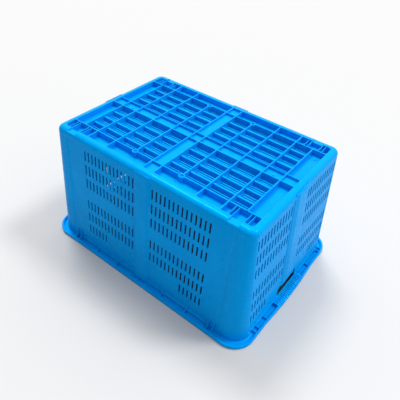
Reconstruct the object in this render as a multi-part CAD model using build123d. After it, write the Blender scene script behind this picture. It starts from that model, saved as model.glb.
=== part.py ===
from build123d import *
import os
from math import cos, hypot, radians, sin

# Ventilated stacking crate, one polypropylene moulding, standing mouth down:
# the rim lies on z = 0 and the ribbed base faces up. X is the long side.
# The moulding is divided at its natural members, which meet face to face.

# ---- driving dimensions (millimetres) ----
HEIGHT = 366.0
RIM_LENGTH = 707.0
RIM_WIDTH = 508.0
RIM_CORNER = 60.5
GRIP_BULGE = 4.8            # the rim swells this far outwards at each hand grip
GRIP_BULGE_HALF = 130.0

WALL = 3.0                  # thickness of the slotted panels
DRAFT = 27.5                # how far each wall leans out over the full height
PANEL_HALF_X = 336.2        # slotted panel planes at the mouth
PANEL_HALF_Y = 233.6
PROUD = 2.0                 # corner columns stand this far proud of the panels
MOUTH_CORNER = 50.0
BASE_CORNER = 21.0
SHOULDER = 14.0             # rounding between the walls and the foot ring

LIP_WIDTH = 8.0             # along the front and back
END_LIP_WIDTH = 5.5
LIP_HEIGHT = 9.0
FLANGE = 3.0
FLANGE_FILLET = 2.0
ROOT_FACETS = 2
RIM_SPLIT = 20.0            # walls start above this height, the rim is below it
RIM_CORNER_RUN = 8.0        # straight rim kept beside each corner
LIP_RISE = 14.0             # lip height where it meets the hand grips

# troughs let into the foot of the end walls, on both sides of each hand grip
TROUGH_WALL_X = 328.0
TROUGH_TOP = 17.0
TROUGH_END_Y = 180.0

# base structure, measured down from the top
BASE_DEPTH = 15.0           # depth of the cells
FLOOR = 3.0
RING_HALF_X = 292.5         # inner faces of the foot ring
RING_HALF_Y = 188.5
RING_CORNER = 8.0
RIB = 3.2
BAND_DEPTH = 7.0            # closed bands lie this far below the rib tops
SLAT_DROP = 5.0
SLAT_WIDTH = 6.0
CROSS_RIBS = {"centre": 16.0, "inner": 73.9, "middle": 140.8, "outer": 207.3, "end": 256.0}
BAND_RIB_Y = 15.8
SIDE_RIB_Y = 153.9
SLAT_ROWS = (51.0, 87.0, 122.0)
FLOOR_SLOT_WIDTH = 3.2
FLOOR_SLOTS_PER_GAP = 4
FLOOR_SLOT_MARGIN = 3.0      # from each slot's end to the cross rib
FIN_POSITIONS = (229.0, 238.0, 269.0, 278.0)
FIN_THICKNESS = 1.8
NOTCH_DEPTH = 4.0
MARK_RADIUS = 5.0
MARK_HEIGHT = 1.2
CORNER_MARK_Y = 135.0
BAND_MARK_X = 232.0
BOSS_RADIUS = 8.0           # round bosses where the inner cross ribs end on the side ribs
BOSS_WELL_RADIUS = 5.0
BOSS_WELL_DEPTH = 3.0
BOSS_PIN_RADIUS = 1.5
BOSS_PIN_HEIGHT = 2.0
BOSS_DROP = 0.8             # their tops lie this far below the rib tops

# pilasters in the middle of each wall
PILASTER_PROUD = 3.0
FRONT_PILASTER = (18.0, 24.0)      # half widths at its face and at its foot
END_PILASTER = (18.0, 32.0)

# ventilation slots
SLOT_WIDTH = 5.0
SLOT_HEIGHT = 30.0
SLOT_PITCH = 13.1
SLOT_ROWS = (318.2, 274.1, 230.0, 157.0, 113.0, 67.8)
FRONT_SLOT_START = 31.5
FRONT_SLOT_COUNT = 14
END_SLOT_START = 42.0
END_SLOT_COUNT = 12
LAST_ROW_COUNT = 6                 # the row next to the rim has slots only at its outer side

# panel recesses
FRONT_RECESS = (24.0, 27.0, 262.0, 272.0)
END_RECESS = (32.0, 35.0, 191.0, 197.0)
RECESS_TOP = HEIGHT - 17.0
RECESS_BOTTOM = 14.0

# hand holds in the two end walls
HAND_SLOT_HALF = 50.0
HAND_SLOT_BOTTOM = 14.0
HAND_SLOT_TOP = 51.0
HAND_SLOT_CORNER = 9.0
GRIP_HALF = 67.0
GRIP_EDGE_HEIGHT = 11.0
GRIP_CROWN_DROP = 0.3             # the ledge's middle lies this far below its inner edge
GRIP_RIB_PITCH = 6.6
GRIP_RIB_WIDTH = 2.8
GRIP_RIB_HEIGHT = 2.2
GRIP_WALL_HALF = 114.0
GRIP_WALL_TOP = 80.0

# rim gussets
GUSSET = 2.4
GUSSET_TOP = 50.0
SMALL_GUSSET_TOP = 19.0
GUSSET_HOLLOW = 0.43               # how far along the free edge its middle lies, below 0.5 is hollow
LONG_GUSSETS = (0.0, 84.0, 167.0)
LONG_TALL_GUSSETS = (241.0, 257.0)
END_WEBS = (-172.0, -156.5, -119.0, 119.0, 190.0, 204.5)     # low and straight

BIG = 1000.0
FLOOR_TOP = HEIGHT - BASE_DEPTH
FLOOR_UNDER = FLOOR_TOP - FLOOR
SLOPE = DRAFT / HEIGHT
WALL_REACH = PANEL_HALF_X + PROUD + 2       # the end walls lie inside this, the lip outside it

os.makedirs("parts", exist_ok=True)


def block(x0, x1, y0, y1, z0, z1):
    """A box between two corners."""
    size = Box(abs(x1 - x0), abs(y1 - y0), abs(z1 - z0))
    return Pos((x0 + x1) / 2, (y0 + y1) / 2, (z0 + z1) / 2) * size


def rounded(half_x, half_y, radius, z):
    return Pos(0, 0, z) * RectangleRounded(2 * half_x, 2 * half_y, radius)


def corner_radius(z):
    return MOUTH_CORNER + (BASE_CORNER - MOUTH_CORNER) * z / HEIGHT


def wall_section(offset, z):
    """The crate's outline at one height, grown by offset from the panel planes."""
    half_x = PANEL_HALF_X - SLOPE * z + offset
    half_y = PANEL_HALF_Y - SLOPE * z + offset
    return rounded(half_x, half_y, corner_radius(z) + offset - PROUD, z)


def tapered(offset, z0, z1):
    return loft([wall_section(offset, z0), wall_section(offset, z1)], ruled=True)


def make_root():
    """A hollow curve, in short facets, where the walls meet the flange."""
    steps = [radians(90 * step / ROOT_FACETS) for step in range(ROOT_FACETS + 1)]
    levels = [(PROUD + FLANGE_FILLET * (1 - sin(a)), FLANGE + FLANGE_FILLET * (1 - cos(a))) for a in steps]
    facets = []
    for (low_offset, low_z), (high_offset, high_z) in zip(levels[:-1], levels[1:]):
        facets.append(loft([wall_section(low_offset, low_z), wall_section(high_offset, high_z)], ruled=True))
    return facets


def round_shoulder(solid):
    return fillet(solid.edges().group_by(Axis.Z)[-1], SHOULDER)


def swept_up_wall(points, z0, z1, lean_axis):
    """A plan outline on a wall, pushed up along that wall's slope."""
    lean = {"front": (0, SLOPE, 1), "right": (-SLOPE, 0, 1)}[lean_axis]
    outline = make_face(Polyline(*[(x, y, z0) for x, y in points], close=True))
    return extrude(outline, amount=(z1 - z0) * hypot(SLOPE, 1), dir=lean)


def four_walls(front, right):
    """Copies of a front and a right-hand piece on all four walls."""
    return [front, mirror(front, Plane.XZ), right, mirror(right, Plane.YZ)]


def rim_outline(end_inset=0.0, side_inset=0.0):
    """The rim in plan, its two ends swollen at the grips, moved in at its ends and its sides."""
    half = RIM_LENGTH / 2 - end_inset
    outline = RectangleRounded(2 * half, RIM_WIDTH - 2 * side_inset, RIM_CORNER - side_inset)
    swell_line = Line((half, -GRIP_BULGE_HALF), (half, GRIP_BULGE_HALF))
    swell_arc = ThreePointArc((half, GRIP_BULGE_HALF), (half + GRIP_BULGE, 0), (half, -GRIP_BULGE_HALF))
    swell = make_face([swell_line, swell_arc])
    return outline + swell + mirror(swell, Plane.YZ)


def make_rim_block():
    rim = extrude(rim_outline(), amount=LIP_HEIGHT)
    return rim - Pos(0, 0, FLANGE) * extrude(rim_outline(END_LIP_WIDTH, LIP_WIDTH), amount=LIP_HEIGHT)


def make_lip_rises():
    """The lip climbs in an S-curve towards each grip."""
    inside = extrude(rim_outline(END_LIP_WIDTH, LIP_WIDTH), amount=LIP_RISE)
    lip = extrude(rim_outline(), amount=LIP_RISE) - inside
    low = (GRIP_BULGE_HALF, LIP_HEIGHT)
    high = (GRIP_HALF, LIP_RISE)
    sweep_line = Spline(low, high, tangents=[(-1, 0), (-1, 0)])
    sides = Polyline(high, (GRIP_HALF, FLANGE), (GRIP_BULGE_HALF, FLANGE), low)
    profile = Plane.YZ * make_face([sweep_line, sides])
    ramp = extrude(profile, amount=BIG / 2, both=True)
    rises = lip & (ramp + mirror(ramp, Plane.XZ))
    return rises


def make_pilasters():
    grown = round_shoulder(tapered(PROUD + PILASTER_PROUD, 0, HEIGHT))
    face_y = -(PANEL_HALF_Y + PROUD)
    face, foot = FRONT_PILASTER
    front_points = [(-foot, face_y + 1), (-foot, face_y), (-face, face_y - PILASTER_PROUD),
                    (face, face_y - PILASTER_PROUD), (foot, face_y), (foot, face_y + 1)]
    front = swept_up_wall(front_points, 0, HEIGHT, "front") & grown
    face_x = PANEL_HALF_X + PROUD
    face, foot = END_PILASTER
    right_points = [(face_x - 1, -foot), (face_x, -foot), (face_x + PILASTER_PROUD, -face),
                    (face_x + PILASTER_PROUD, face), (face_x, foot), (face_x - 1, foot)]
    right = swept_up_wall(right_points, 0, HEIGHT, "right") & grown
    right = right - block(0, BIG, -BIG, BIG, -1, GRIP_WALL_TOP)
    return four_walls(front, right)


def make_recesses():
    """Shallow fields that hold the slots, with sloped sides."""
    near, near_floor, far_floor, far = FRONT_RECESS
    face_y = -(PANEL_HALF_Y + PROUD - SLOPE * RECESS_BOTTOM)
    front_points = [(near, face_y - PROUD * 3), (near, face_y), (near_floor, face_y + PROUD),
                    (far_floor, face_y + PROUD), (far, face_y), (far, face_y - PROUD * 3)]
    front = swept_up_wall(front_points, RECESS_BOTTOM, RECESS_TOP, "front")
    near, near_floor, far_floor, far = END_RECESS
    face_x = PANEL_HALF_X + PROUD - SLOPE * RECESS_BOTTOM
    right_points = [(face_x + PROUD * 3, near), (face_x, near), (face_x - PROUD, near_floor),
                    (face_x - PROUD, far_floor), (face_x, far), (face_x + PROUD * 3, far)]
    right = swept_up_wall(right_points, RECESS_BOTTOM, RECESS_TOP, "right")
    halves = [front, mirror(front, Plane.YZ)]
    recesses = []
    for half in halves:
        recesses += [half, mirror(half, Plane.XZ)]
    for half in [right, mirror(right, Plane.XZ)]:
        recesses += [half, mirror(half, Plane.YZ)]
    return recesses


def let_in_troughs(body, hull):
    """The end walls step inwards at their foot, beside the grips."""
    for side_x in (-1, 1):
        for side_y in (-1, 1):
            casing = block(side_x * (TROUGH_WALL_X - WALL), side_x * BIG, side_y * GRIP_HALF,
                           side_y * (TROUGH_END_Y + WALL), 0, RIM_SPLIT)
            trough = block(side_x * TROUGH_WALL_X, side_x * (RIM_LENGTH / 2 - END_LIP_WIDTH),
                           side_y * GRIP_HALF, side_y * TROUGH_END_Y, FLANGE, TROUGH_TOP)
            body = body + (casing & hull) - trough
    return body


def make_body():
    """The whole shell before it is divided: rim, walls and foot ring."""
    hull = round_shoulder(tapered(PROUD, 0, HEIGHT))
    body = hull + make_rim_block() + make_root()
    body = body + make_pilasters()
    body = body + make_lip_rises()
    body = body - tapered(-WALL, 0, FLOOR_UNDER)
    cell_space = extrude(rounded(RING_HALF_X, RING_HALF_Y, RING_CORNER, FLOOR_UNDER), amount=BIG)
    body = body - cell_space
    for recess in make_recesses():
        body = body - recess
    return let_in_troughs(body, hull)


def front_slots():
    """Slots of the right half of the front wall."""
    slots = []
    for row, z in enumerate(SLOT_ROWS):
        first = 0 if row < len(SLOT_ROWS) - 1 else FRONT_SLOT_COUNT - LAST_ROW_COUNT
        for column in range(first, FRONT_SLOT_COUNT):
            x = FRONT_SLOT_START + column * SLOT_PITCH
            slots.append(block(x - SLOT_WIDTH / 2, x + SLOT_WIDTH / 2, -BIG / 2, 0,
                               z - SLOT_HEIGHT / 2, z + SLOT_HEIGHT / 2))
    return slots


def end_slots():
    """Slots of the back half of the right-hand wall."""
    slots = []
    for row, z in enumerate(SLOT_ROWS):
        first = 0 if row < len(SLOT_ROWS) - 1 else END_SLOT_COUNT - LAST_ROW_COUNT
        for column in range(first, END_SLOT_COUNT):
            y = END_SLOT_START + column * SLOT_PITCH
            slots.append(block(0, BIG / 2, y - SLOT_WIDTH / 2, y + SLOT_WIDTH / 2,
                               z - SLOT_HEIGHT / 2, z + SLOT_HEIGHT / 2))
    return slots


def make_walls(body):
    """Panels, pilasters, columns and grip walls, cut from the shell."""
    nodes = {}
    low, high = RIM_SPLIT, FLOOR_UNDER
    front_edge, far_edge = FRONT_RECESS[1] - 2, FRONT_RECESS[2]
    end_edge, end_far = END_RECESS[1] - 2, END_RECESS[2]
    half_y = BIG / 2

    front_panel = body & block(front_edge, far_edge, -half_y, 0, low, high)
    front_panel = front_panel - front_slots()
    nodes["front_panel_right"] = front_panel
    nodes["front_panel_left"] = mirror(front_panel, Plane.YZ)
    nodes["back_panel_right"] = mirror(front_panel, Plane.XZ)
    nodes["back_panel_left"] = mirror(nodes["back_panel_right"], Plane.YZ)

    front_pilaster = body & block(-front_edge, front_edge, -half_y, 0, low, high)
    nodes["front_pilaster"] = front_pilaster
    nodes["back_pilaster"] = mirror(front_pilaster, Plane.XZ)

    grip_region = block(0, WALL_REACH, -GRIP_WALL_HALF, GRIP_WALL_HALF, low, GRIP_WALL_TOP)
    end_panel = body & block(0, WALL_REACH, end_edge, end_far, low, high)
    end_panel = end_panel - grip_region - end_slots()
    nodes["right_panel_back"] = end_panel
    nodes["right_panel_front"] = mirror(end_panel, Plane.XZ)
    nodes["left_panel_back"] = mirror(end_panel, Plane.YZ)
    nodes["left_panel_front"] = mirror(nodes["right_panel_front"], Plane.YZ)

    end_pilaster = body & block(0, BIG, -end_edge, end_edge, GRIP_WALL_TOP, high)
    nodes["right_pilaster"] = end_pilaster
    nodes["left_pilaster"] = mirror(end_pilaster, Plane.YZ)

    hand_slot = extrude(
        Plane.YZ * Pos(0, (HAND_SLOT_TOP + HAND_SLOT_BOTTOM) / 2)
        * RectangleRounded(2 * HAND_SLOT_HALF, HAND_SLOT_TOP - HAND_SLOT_BOTTOM, HAND_SLOT_CORNER),
        amount=BIG,
    )
    grip_foot = block(0, WALL_REACH, -GRIP_HALF, GRIP_HALF, HAND_SLOT_BOTTOM, low)
    grip_wall = (body & (grip_region + grip_foot)) - hand_slot
    nodes["right_grip_wall"] = grip_wall
    nodes["left_grip_wall"] = mirror(grip_wall, Plane.YZ)

    column = body & (block(far_edge, BIG, -BIG, -end_far, low, high))
    add_corners(nodes, "column", column)
    return nodes


def add_corners(nodes, name, front_right):
    """Names and mirrors a piece of the front right corner into all four corners."""
    back_right = mirror(front_right, Plane.XZ)
    nodes[f"front_right_{name}"] = front_right
    nodes[f"front_left_{name}"] = mirror(front_right, Plane.YZ)
    nodes[f"back_right_{name}"] = back_right
    nodes[f"back_left_{name}"] = mirror(back_right, Plane.YZ)


def make_foot_ring(body):
    """The foot ring and its rounded shoulder, mitred at the corners."""
    nodes = {}
    ring = body & block(-BIG, BIG, -BIG, BIG, FLOOR_UNDER, HEIGHT)
    notch_from, notch_to = FIN_POSITIONS[1] + 1, FIN_POSITIONS[2] - 1
    for side in (-1, 1):
        ring = ring - block(side * notch_from, side * notch_to, -BIG, BIG, HEIGHT - NOTCH_DEPTH, BIG)
    mitre = PANEL_HALF_X - PANEL_HALF_Y
    reach = BIG / 2
    front_area = Polygon((-mitre, 0), (-mitre - reach, -reach), (mitre + reach, -reach), (mitre, 0), align=None)
    right_area = Polygon((mitre, 0), (mitre + reach, -reach), (mitre + reach, reach), align=None)
    front = ring & extrude(front_area, amount=BIG)
    right = ring & extrude(right_area, amount=BIG)
    names = ("front_foot", "back_foot", "right_foot", "left_foot")
    for name, piece in zip(names, four_walls(front, right)):
        nodes[name] = piece
    return nodes


def grip_profile(lift):
    """Side view of a grip: a convex ledge from the hand slot down to the rim's edge."""
    inner_x = PANEL_HALF_X - WALL
    outer_x = RIM_LENGTH / 2 + GRIP_BULGE + lift
    wall_x = inner_x - SLOPE * HAND_SLOT_BOTTOM
    top = HAND_SLOT_BOTTOM
    crown = (wall_x + outer_x) / 2, top - GRIP_CROWN_DROP + lift
    foot = Polyline((wall_x, top), (inner_x, 0), (outer_x, 0), (outer_x, GRIP_EDGE_HEIGHT))
    ledge = ThreePointArc((outer_x, GRIP_EDGE_HEIGHT), crown, (wall_x, top))
    return Plane.XZ * make_face([foot, ledge])


def make_grips():
    """Hand grips with a row of fine anti-slip ribs."""
    plan = extrude(rim_outline(), amount=BIG)
    ledge = extrude(grip_profile(0), amount=GRIP_HALF, both=True) & plan
    rib_plan = extrude(rim_outline(-GRIP_RIB_HEIGHT, -GRIP_RIB_HEIGHT), amount=BIG)
    rib = extrude(grip_profile(GRIP_RIB_HEIGHT), amount=GRIP_RIB_WIDTH / 2, both=True)
    rib = rib - block(0, BIG, -BIG, BIG, -1, GRIP_EDGE_HEIGHT) - block(0, PANEL_HALF_X + PROUD, -BIG, BIG, 0, BIG)
    rib_steps = int((GRIP_HALF - 4) // GRIP_RIB_PITCH)
    ribs = [Pos(0, step * GRIP_RIB_PITCH, 0) * rib for step in range(-rib_steps, rib_steps + 1)]
    grip = ledge + [one & rib_plan for one in ribs]
    return {"right_grip": grip, "left_grip": mirror(grip, Plane.YZ)}


def make_rim(body):
    nodes = {}
    straight = RIM_LENGTH / 2 - RIM_CORNER - RIM_CORNER_RUN
    front = body & block(-straight, straight, -BIG, 0, 0, RIM_SPLIT)
    nodes["front_rim"] = front
    nodes["back_rim"] = mirror(front, Plane.XZ)
    corner = body & block(straight, BIG, -BIG, -GRIP_HALF, 0, RIM_SPLIT)
    add_corners(nodes, "rim", corner)
    return nodes


def gusset(side, inner, outer, top):
    """A thin web from a long wall down to the lip, its free edge hollowed."""
    head = inner - SLOPE * (top - FLANGE)
    start = (side * outer, LIP_HEIGHT)
    end = (side * head, top)
    middle_x = head + (outer - head) * GUSSET_HOLLOW
    middle = (side * middle_x, LIP_HEIGHT + (top - LIP_HEIGHT) * GUSSET_HOLLOW)
    edge = ThreePointArc(start, middle, end)
    sides = Polyline(end, (side * inner, FLANGE), (side * outer, FLANGE), start)
    return make_face([edge, sides])


def make_gussets(body):
    """Small webs and tall pairs in the channel of the long sides, low webs at the ends."""
    nodes = {}
    front_wall = PANEL_HALF_Y - 1
    front_lip = RIM_WIDTH / 2 - LIP_WIDTH
    front = []
    for top, places in ((SMALL_GUSSET_TOP, LONG_GUSSETS), (GUSSET_TOP, LONG_TALL_GUSSETS)):
        web = extrude(Plane.YZ * gusset(-1, front_wall, front_lip, top), amount=GUSSET / 2, both=True)
        for x in places:
            front += [(Pos(side * x, 0, 0) * web) - body for side in ((-1, 1) if x else (1,))]
    nodes["front_gussets"] = Part() + front
    nodes["back_gussets"] = mirror(nodes["front_gussets"], Plane.XZ)

    end_lip = RIM_LENGTH / 2 - END_LIP_WIDTH + 1
    right = []
    for y in END_WEBS:
        end_wall = TROUGH_WALL_X - 1 if abs(y) < TROUGH_END_Y else PANEL_HALF_X - WALL
        right.append(block(end_wall, end_lip, y - GUSSET / 2, y + GUSSET / 2, FLANGE, LIP_HEIGHT) - body)
    nodes["right_gussets"] = Part() + right
    nodes["left_gussets"] = mirror(nodes["right_gussets"], Plane.YZ)
    return nodes


def at_bosses(piece):
    x, y = CROSS_RIBS["inner"], SIDE_RIB_Y
    return [Pos(side_x * x, side_y * y, 0) * piece for side_x in (-1, 1) for side_y in (-1, 1)]


def upright(radius, z0, z1):
    """A round post between two heights."""
    return Pos(0, 0, (z0 + z1) / 2) * Cylinder(radius, z1 - z0)


def make_bosses():
    """Round bosses with a shallow well and the stub of the moulding gate in it."""
    top = HEIGHT - BOSS_DROP
    well_floor = top - BOSS_WELL_DEPTH
    boss = upright(BOSS_RADIUS, FLOOR_TOP, top) - upright(BOSS_WELL_RADIUS, well_floor, top)
    boss = boss + upright(BOSS_PIN_RADIUS, well_floor, well_floor + BOSS_PIN_HEIGHT)
    return {"gate_bosses": Part() + at_bosses(boss)}


def slat_gaps():
    """Gaps between band rib, slats and side rib, where the floor is slotted."""
    lines = (BAND_RIB_Y,) + SLAT_ROWS + (SIDE_RIB_Y,)
    return list(zip(lines[:-1], lines[1:]))


def make_floor():
    plate = extrude(rounded(RING_HALF_X, RING_HALF_Y, RING_CORNER, FLOOR_UNDER), amount=FLOOR)
    stations = sorted(CROSS_RIBS.values())
    slots = []
    for x0, x1 in zip(stations[:-1], stations[1:]):
        length = x1 - x0 - RIB - 2 * FLOOR_SLOT_MARGIN
        for y0, y1 in slat_gaps():
            step = (y1 - y0 - SLAT_WIDTH) / FLOOR_SLOTS_PER_GAP
            for index in range(FLOOR_SLOTS_PER_GAP):
                y = y0 + SLAT_WIDTH / 2 + (index + 0.5) * step
                for side_x in (-1, 1):
                    for side_y in (-1, 1):
                        centre = Pos(side_x * (x0 + x1) / 2, side_y * y)
                        slots.append(centre * Rectangle(length, FLOOR_SLOT_WIDTH))
    slot_plan = Pos(0, 0, FLOOR_UNDER - 1) * (Sketch() + slots)
    plate = plate - extrude(slot_plan, amount=FLOOR + 2)
    mark_x = (CROSS_RIBS["end"] + RING_HALF_X) / 2
    marks = [
        Pos(side_x * mark_x, side_y * CORNER_MARK_Y, FLOOR_TOP + MARK_HEIGHT / 2) * Cylinder(MARK_RADIUS, MARK_HEIGHT)
        for side_x in (-1, 1) for side_y in (-1, 1)
    ]
    return {"floor_panel": plate + marks}


def make_ribs():
    """Cross ribs run over the long ribs through shallow notches, and stop at the bosses."""
    nodes = {}
    boss_space = Part() + at_bosses(upright(BOSS_RADIUS, FLOOR_TOP, HEIGHT))
    notch_floor = HEIGHT - BAND_DEPTH
    half = RIB / 2
    spans = {"centre": RING_HALF_Y, "inner": SIDE_RIB_Y, "middle": RING_HALF_Y,
             "outer": RING_HALF_Y, "end": SIDE_RIB_Y}
    for name, x in CROSS_RIBS.items():
        span = spans[name]
        rib = block(x - half, x + half, -span, span, FLOOR_TOP, HEIGHT)
        rib = rib - block(x - half, x + half, -BAND_RIB_Y - half, BAND_RIB_Y + half, 0, notch_floor)
        for side in (-1, 1):
            rib = rib - block(x - half, x + half, side * (SIDE_RIB_Y - half), side * (SIDE_RIB_Y + half),
                              0, notch_floor)
            if name != "centre":
                for y in SLAT_ROWS:
                    rib = rib - block(x - half, x + half, side * y - SLAT_WIDTH / 2, side * y + SLAT_WIDTH / 2,
                                      0, HEIGHT - SLAT_DROP)
        if name == "inner":
            rib = rib - boss_space
        nodes[f"cross_rib_{name}_right"] = rib
        nodes[f"cross_rib_{name}_left"] = mirror(rib, Plane.YZ)

    for name, y in (("band", BAND_RIB_Y), ("side", SIDE_RIB_Y)):
        rib = block(-RING_HALF_X, RING_HALF_X, -y - half, -y + half, FLOOR_TOP, HEIGHT)
        for x in CROSS_RIBS.values():
            for side in (-1, 1):
                rib = rib - block(side * x - half, side * x + half, -BIG, BIG, notch_floor, BIG)
        if name == "side":
            rib = rib - boss_space
        nodes[f"front_{name}_rib"] = rib
        nodes[f"back_{name}_rib"] = mirror(rib, Plane.XZ)
    return nodes


def make_bands():
    """Closed plates between the paired ribs through the middle of the base."""
    top = HEIGHT - BAND_DEPTH
    under = top - FLOOR
    inner_y = BAND_RIB_Y - RIB / 2
    inner_x = CROSS_RIBS["centre"] - RIB / 2
    long_band = block(-RING_HALF_X, RING_HALF_X, -inner_y, inner_y, under, top)
    mark = Cylinder(MARK_RADIUS, MARK_HEIGHT)
    marks = [Pos(side * BAND_MARK_X, 0, top + MARK_HEIGHT / 2) * mark for side in (-1, 1)]
    front_band = block(-inner_x, inner_x, -RING_HALF_Y, -BAND_RIB_Y - RIB / 2, under, top)
    front_band = front_band - block(-BIG, BIG, -SIDE_RIB_Y - RIB / 2, -SIDE_RIB_Y + RIB / 2, 0, BIG)
    return {
        "long_band": long_band + marks,
        "front_cross_band": front_band,
        "back_cross_band": mirror(front_band, Plane.XZ),
    }


def make_slats():
    """Lower bars between the band ribs and the side ribs, in four quarters."""
    top = HEIGHT - SLAT_DROP
    start = CROSS_RIBS["centre"] + RIB / 2
    stop = CROSS_RIBS["end"] + RIB / 2
    quarter = []
    for y in SLAT_ROWS:
        bar = block(start, stop, -y - SLAT_WIDTH / 2, -y + SLAT_WIDTH / 2, FLOOR_TOP, top)
        quarter.append(bar)
    nodes = {}
    add_corners(nodes, "slats", Part() + quarter)
    return nodes


def make_fins():
    """Thin paired webs in the corner cells, beside the stacking notches."""
    inner = SIDE_RIB_Y + RIB / 2
    fins = []
    for x in FIN_POSITIONS:
        for side_x in (-1, 1):
            for side_y in (-1, 1):
                fins.append(block(side_x * x - FIN_THICKNESS / 2, side_x * x + FIN_THICKNESS / 2,
                                  side_y * inner, side_y * RING_HALF_Y, FLOOR_TOP, HEIGHT - 1))
    return {"corner_cell_fins": Part() + fins}


body = make_body()
nodes = {}
for group in (make_walls(body), make_foot_ring(body), make_rim(body), make_gussets(body), make_grips(),
              make_floor(), make_ribs(), make_bosses(), make_bands(), make_slats(), make_fins()):
    nodes.update(group)
for name, piece in nodes.items():
    export_step(piece, f"parts/{name}.step")
print(len(nodes), "nodes")
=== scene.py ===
import bpy
from mathutils import Matrix, Vector
from mathutils.bvhtree import BVHTree


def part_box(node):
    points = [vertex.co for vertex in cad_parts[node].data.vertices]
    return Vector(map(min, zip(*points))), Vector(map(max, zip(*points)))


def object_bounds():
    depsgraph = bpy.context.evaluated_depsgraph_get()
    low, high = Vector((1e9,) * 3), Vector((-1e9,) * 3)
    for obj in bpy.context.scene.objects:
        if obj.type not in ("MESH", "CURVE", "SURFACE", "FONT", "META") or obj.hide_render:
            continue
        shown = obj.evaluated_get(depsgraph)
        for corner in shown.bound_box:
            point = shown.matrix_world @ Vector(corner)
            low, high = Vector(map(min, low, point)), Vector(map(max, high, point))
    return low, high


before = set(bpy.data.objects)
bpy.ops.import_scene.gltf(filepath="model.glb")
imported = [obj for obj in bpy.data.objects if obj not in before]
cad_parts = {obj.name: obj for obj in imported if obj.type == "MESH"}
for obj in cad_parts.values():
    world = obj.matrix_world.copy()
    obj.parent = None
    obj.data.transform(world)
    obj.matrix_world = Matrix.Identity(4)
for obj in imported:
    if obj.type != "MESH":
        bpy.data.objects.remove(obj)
cad_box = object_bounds()

MM = 0.001

# ---- rounded edges ----
TOUCH = 0.03 * MM            # an edge this close to another node lies on a joint between them
NEIGHBOUR = 1 * MM           # nodes whose boxes are this close may touch
SAME_POINT = 0.01 * MM       # mesh points this close are one point
SHARP = 0.35                 # radians between two faces that make an edge worth rounding
FLAT = 0.002                 # radians between two faces that are one flat face
BEVEL_SEGMENTS = 2

# How far the edges of each kind of member are rounded, in millimetres.
ROUNDING = {
    "rim": 1.2,
    "foot": 1.3,
    "grip": 0.35,
    "column": 0.8,
    "pilaster": 0.8,
    "panel": 0.5,
    "grip_wall": 1.0,
    "gussets": 0.45,
    "rib": 0.6,
    "slats": 0.8,
    "band": 0.5,
    "fins": 0.4,
}
DEFAULT_ROUNDING = 0.5

# ---- camera ----
CAMERA_AT = (0.55623764, -0.76069707, 0.9761477)
CAMERA_RIGHT = (0.78967744, 0.61121589, 0.05314776)
CAMERA_UP = (-0.43678745, 0.49925125, 0.74830803)
CAMERA_BACK = (0.43084367, -0.61413624, 0.66121888)
CAMERA_LENS = 38.384
CAMERA_SENSOR = 36.0

# ---- light and floor ----
KEY = {"direction": (0.38, 0.40, 0.83), "strength": 1.35, "angle": 0.24}
RIM_LIGHT = {"direction": (-0.40, 0.30, 0.86), "strength": 1.45, "angle": 0.3}
SKY_LEVEL = 0.52
SKY_SLOPE = (0.1, 0.5, 0.55)     # how much the sky brightens towards each axis
FLOOR_SIZE = 12
FLOOR_DROP = 0.5 * MM
FLOOR_ROUGHNESS = 0.8
FLOOR_PALE = (0.57, 0.57, 0.57, 1)
# painted shade: the dark floor colour under the crate, standing in for the shade inside it
FLOOR_PAINTED_SHADE = (0.01, 0.02, 0.04, 1)
SHADE_INSET = 28 * MM            # the painted shade patch ends this far inside the object's box
SHADE_BLUR = 5 * MM

# ---- moulded plastic ----
BLUE = (0.0, 0.345, 0.86, 1)
DEEP_BLUE = (0.0, 0.305, 0.79, 1)
WORN_BLUE = (0.1, 0.52, 0.92, 1)
SHEEN_TINT = (0.05, 0.8, 1.0, 1)
SPECULAR_LEVEL = 0.03
METALLIC_SHARE = 0.1
WEAR_RADIUS = 1.4 * MM           # edges rubbed pale reach this far
WEAR_BEND = (0.995, 0.90)        # cosines of the bend where the wear starts and where it is full
WEAR_PALENESS = 0.55
SCUFF_PALENESS = 0.25
CLOUD_SHARE = 0.6                # of the change between the two blues, the rest is flow marks
GLOSS_RANGE = (0.21, 0.33)       # roughness where the surface isn't rubbed
RUBBED_ROUGHNESS = 0.2           # added where it is

# the colour inputs and output of a Mix node
MIX_A, MIX_B, MIX_RESULT = 6, 7, 2


def rounding_of(name):
    for kind in sorted(ROUNDING, key=len, reverse=True):
        if kind in name:
            return ROUNDING[kind] * MM
    return DEFAULT_ROUNDING * MM


def boxes_meet(a, b, margin):
    return all(a[0][i] - margin <= b[1][i] and b[0][i] - margin <= a[1][i] for i in range(3))


def mark_free_edges(names):
    """Gives every sharp edge that isn't on a joint between two nodes a bevel weight."""
    corners = {name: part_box(name) for name in names}
    trees = {}
    for name in names:
        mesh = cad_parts[name].data
        vertices = [v.co for v in mesh.vertices]
        polygons = [p.vertices for p in mesh.polygons]
        trees[name] = BVHTree.FromPolygons(vertices, polygons)
    for name in names:
        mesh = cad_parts[name].data
        near = []
        for other in names:
            if other != name and boxes_meet(corners[name], corners[other], NEIGHBOUR):
                near.append(trees[other])
        attributes = mesh.attributes
        layer = attributes.get("bevel_weight_edge")
        if layer is None:
            layer = attributes.new("bevel_weight_edge", "FLOAT", "EDGE")
        layer.data.foreach_set("value", sharp_weights(mesh, near))


def grid_point(point):
    """The same whole numbers for all copies of one mesh point."""
    return tuple(round(c / SAME_POINT) for c in point)


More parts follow.
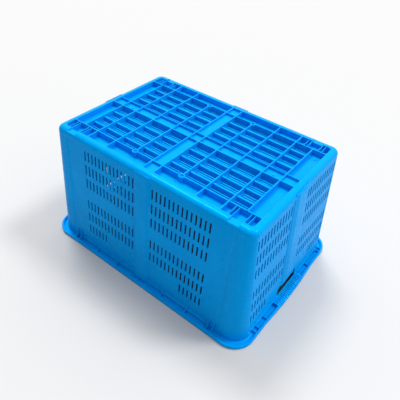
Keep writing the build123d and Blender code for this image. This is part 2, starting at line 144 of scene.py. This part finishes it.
def sharp_weights(mesh, near):
    """1 for each sharp edge clear of the neighbouring nodes, 0 for the others."""
    points = [grid_point(vertex.co) for vertex in mesh.vertices]
    normals = {}
    for polygon in mesh.polygons:
        for a, b in polygon.edge_keys:
            normals.setdefault(frozenset((points[a], points[b])), []).append(polygon.normal)
    weights = []
    for edge in mesh.edges:
        a, b = edge.vertices
        middle = (mesh.vertices[a].co + mesh.vertices[b].co) / 2
        around = normals.get(frozenset((points[a], points[b])), [])
        sharp = len(around) == 2 and around[0].angle(around[1], 0) > SHARP
        free = sharp and not any(tree.find_nearest(middle, TOUCH)[0] for tree in near)
        weights.append(1.0 if free else 0.0)
    return weights


def round_edges(node, width, slotted):
    """Rounds the marked edges. A slotted node keeps its facets, because its faces have holes."""
    weld = node.modifiers.new("weld", "WELD")
    weld.merge_threshold = SAME_POINT
    if not slotted:
        flat = node.modifiers.new("flat", "DECIMATE")
        flat.decimate_type = "DISSOLVE"
        flat.angle_limit = FLAT
    bevel = node.modifiers.new("bevel", "BEVEL")
    bevel.limit_method = "WEIGHT"
    bevel.width = width
    bevel.segments = BEVEL_SEGMENTS
    bevel.use_clamp_overlap = True
    bevel.harden_normals = True
    bevel.miter_outer = "MITER_ARC"


def make_camera():
    data = bpy.data.cameras.new("camera")
    data.sensor_width = CAMERA_SENSOR
    data.lens = CAMERA_LENS
    camera = bpy.data.objects.new("camera", data)
    bpy.context.collection.objects.link(camera)
    turn = Matrix((CAMERA_RIGHT, CAMERA_UP, CAMERA_BACK)).transposed().to_4x4()
    camera.matrix_world = Matrix.Translation(CAMERA_AT) @ turn
    bpy.context.scene.camera = camera


class NodeSet:
    """Short names for adding and joining a material's nodes."""

    def __init__(self, tree):
        self.tree = tree
        self.place = tree.nodes.new("ShaderNodeTexCoord").outputs["Object"]

    def add(self, kind, inputs=None, **settings):
        node = self.tree.nodes.new(kind)
        for setting, value in settings.items():
            setattr(node, setting, value)
        for socket, value in (inputs or {}).items():
            self.put(node.inputs[socket], value)
        return node

    def put(self, socket, value):
        if isinstance(value, bpy.types.NodeSocket):
            self.tree.links.new(value, socket)
        else:
            socket.default_value = value

    def noise(self, size, detail=2.0, stretch=(1, 1, 1)):
        """Noise whose features are about size metres across, drawn out along an axis by stretch."""
        scale = [1 / (size * s) for s in stretch]
        mapping = self.add("ShaderNodeMapping", {"Vector": self.place, "Scale": scale})
        inputs = {"Vector": mapping.outputs["Vector"], "Scale": 1.0, "Detail": detail}
        return self.add("ShaderNodeTexNoise", inputs).outputs["Fac"]

    def ramp(self, value, low, high, to_low=0.0, to_high=1.0):
        inputs = {"Value": value, "From Min": low, "From Max": high, "To Min": to_low, "To Max": to_high}
        return self.add("ShaderNodeMapRange", inputs, clamp=True).outputs["Result"]

    def math(self, operation, a, b):
        return self.add("ShaderNodeMath", {0: a, 1: b}, operation=operation).outputs[0]

    def mix(self, factor, a, b):
        inputs = {"Factor": factor, MIX_A: a, MIX_B: b}
        return self.add("ShaderNodeMix", inputs, data_type="RGBA").outputs[MIX_RESULT]

    def bump(self, height, strength, distance, over=None, invert=False):
        """A bump, laid over another bump's normals where one is given."""
        inputs = {"Height": height, "Strength": strength, "Distance": distance}
        if over is not None:
            inputs["Normal"] = over
        return self.add("ShaderNodeBump", inputs, invert=invert).outputs["Normal"]


def edge_wear(nodes):
    """1 along sharp edges, broken up so that only patches of them are rubbed."""
    bevel = nodes.add("ShaderNodeBevel", {"Radius": WEAR_RADIUS}, samples=4)
    face = nodes.add("ShaderNodeNewGeometry").outputs["Normal"]
    between = {0: bevel.outputs["Normal"], 1: face}
    bend = nodes.add("ShaderNodeVectorMath", between, operation="DOT_PRODUCT")
    edge = nodes.ramp(bend.outputs["Value"], *WEAR_BEND)
    patches = nodes.ramp(nodes.noise(22 * MM, 4.0), 0.46, 0.66)
    return nodes.math("MULTIPLY", edge, patches)


def scuffs(nodes):
    """Thin faint streaks from handling, in two directions."""
    across = nodes.ramp(nodes.noise(1.1 * MM, 2.0, stretch=(28, 1, 1)), 0.66, 0.76)
    along = nodes.ramp(nodes.noise(1.3 * MM, 2.0, stretch=(1, 24, 3)), 0.67, 0.77)
    places = nodes.ramp(nodes.noise(90 * MM, 3.0), 0.48, 0.62)
    return nodes.math("MULTIPLY", nodes.math("MAXIMUM", across, along), places)


def make_plastic():
    """Glossy polypropylene: faint flow marks, fine orange peel, scuffs and pale rubbed edges."""
    material = bpy.data.materials.new("blue_plastic")
    material.use_nodes = True
    shader = material.node_tree.nodes["Principled BSDF"]
    nodes = NodeSet(material.node_tree)
    wear = edge_wear(nodes)
    marks = scuffs(nodes)
    clouds = nodes.noise(120 * MM, 3.0)
    flow = nodes.noise(14 * MM, 3.0, stretch=(1, 1, 6))
    peel = nodes.noise(1.6 * MM, 1.0)

    cloud_shade = nodes.ramp(clouds, 0.35, 0.65, 0.0, CLOUD_SHARE)
    flow_shade = nodes.ramp(flow, 0.35, 0.65, 0.0, 1 - CLOUD_SHARE)
    colour = nodes.mix(nodes.math("ADD", cloud_shade, flow_shade), DEEP_BLUE, BLUE)
    colour = nodes.mix(nodes.math("MULTIPLY", wear, WEAR_PALENESS), colour, WORN_BLUE)
    colour = nodes.mix(nodes.math("MULTIPLY", marks, SCUFF_PALENESS), colour, WORN_BLUE)
    nodes.put(shader.inputs["Base Color"], colour)

    gloss = nodes.ramp(nodes.noise(35 * MM, 4.0), 0.3, 0.7, *GLOSS_RANGE)
    rubbed = nodes.math("MULTIPLY", nodes.math("MAXIMUM", wear, marks), RUBBED_ROUGHNESS)
    nodes.put(shader.inputs["Roughness"], nodes.math("ADD", gloss, rubbed))

    fine = nodes.bump(peel, 0.35, 0.03 * MM)
    waves = nodes.bump(flow, 0.4, 0.12 * MM, over=fine)
    cuts = nodes.bump(marks, 0.5, 0.03 * MM, over=waves, invert=True)
    nodes.put(shader.inputs["Normal"], cuts)
    shader.inputs["Specular Tint"].default_value = SHEEN_TINT
    shader.inputs["Specular IOR Level"].default_value = SPECULAR_LEVEL
    shader.inputs["Metallic"].default_value = METALLIC_SHARE
    return material


def make_floor():
    """A pale floor with painted shade under the crate: a dark patch standing in for the shade inside it,
    hidden by its walls except through the slots.
    """
    bpy.ops.mesh.primitive_plane_add(size=FLOOR_SIZE, location=(0, 0, -FLOOR_DROP))
    floor = bpy.context.object
    floor.name = "floor"
    material = bpy.data.materials.new("floor")
    material.use_nodes = True
    shader = material.node_tree.nodes["Principled BSDF"]
    nodes = NodeSet(material.node_tree)
    place = nodes.add("ShaderNodeSeparateXYZ", {"Vector": nodes.place})
    within = []
    for axis, reach in zip(("X", "Y"), cad_box[1]):
        half = reach - SHADE_INSET
        away = nodes.math("ABSOLUTE", place.outputs[axis], 0.0)
        within.append(nodes.ramp(away, half, half - SHADE_BLUR))
    inside = nodes.math("MULTIPLY", *within)
    # painted shade: the floor is painted dark under the crate so that the slots read dark
    nodes.put(shader.inputs["Base Color"], nodes.mix(inside, FLOOR_PALE, FLOOR_PAINTED_SHADE))
    shader.inputs["Roughness"].default_value = FLOOR_ROUGHNESS
    floor.data.materials.append(material)


def make_world():
    """A soft sky, brightest overhead and dimmer towards the front, plain white where it is seen."""
    world = bpy.data.worlds.new("world")
    world.use_nodes = True
    tree = world.node_tree
    background = tree.nodes["Background"]
    direction = tree.nodes.new("ShaderNodeTexCoord").outputs["Generated"]
    slope = tree.nodes.new("ShaderNodeVectorMath")
    slope.operation = "DOT_PRODUCT"
    slope.inputs[1].default_value = SKY_SLOPE
    level = tree.nodes.new("ShaderNodeMath")
    level.operation = "ADD"
    level.inputs[1].default_value = SKY_LEVEL
    seen = tree.nodes.new("ShaderNodeMath")
    seen.operation = "MAXIMUM"
    camera_ray = tree.nodes.new("ShaderNodeLightPath").outputs["Is Camera Ray"]
    tree.links.new(direction, slope.inputs[0])
    tree.links.new(slope.outputs["Value"], level.inputs[0])
    tree.links.new(level.outputs[0], seen.inputs[0])
    tree.links.new(camera_ray, seen.inputs[1])
    tree.links.new(seen.outputs[0], background.inputs["Strength"])
    background.inputs["Color"].default_value = (1, 1, 1, 1)
    bpy.context.scene.world = world


def make_sun(name, direction, strength, angle):
    data = bpy.data.lights.new(name, "SUN")
    data.energy = strength
    data.angle = angle
    light = bpy.data.objects.new(name, data)
    bpy.context.collection.objects.link(light)
    light.rotation_euler = Vector(direction).to_track_quat("Z", "Y").to_euler()


make_camera()
make_floor()
plastic = make_plastic()
mark_free_edges(list(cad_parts))
for name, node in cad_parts.items():
    node.data.materials.clear()
    node.data.materials.append(plastic)
    round_edges(node, rounding_of(name), "panel" in name)
make_sun("key", **KEY)
make_sun("rim_light", **RIM_LIGHT)
make_world()
bpy.context.scene.view_settings.view_transform = "Standard"
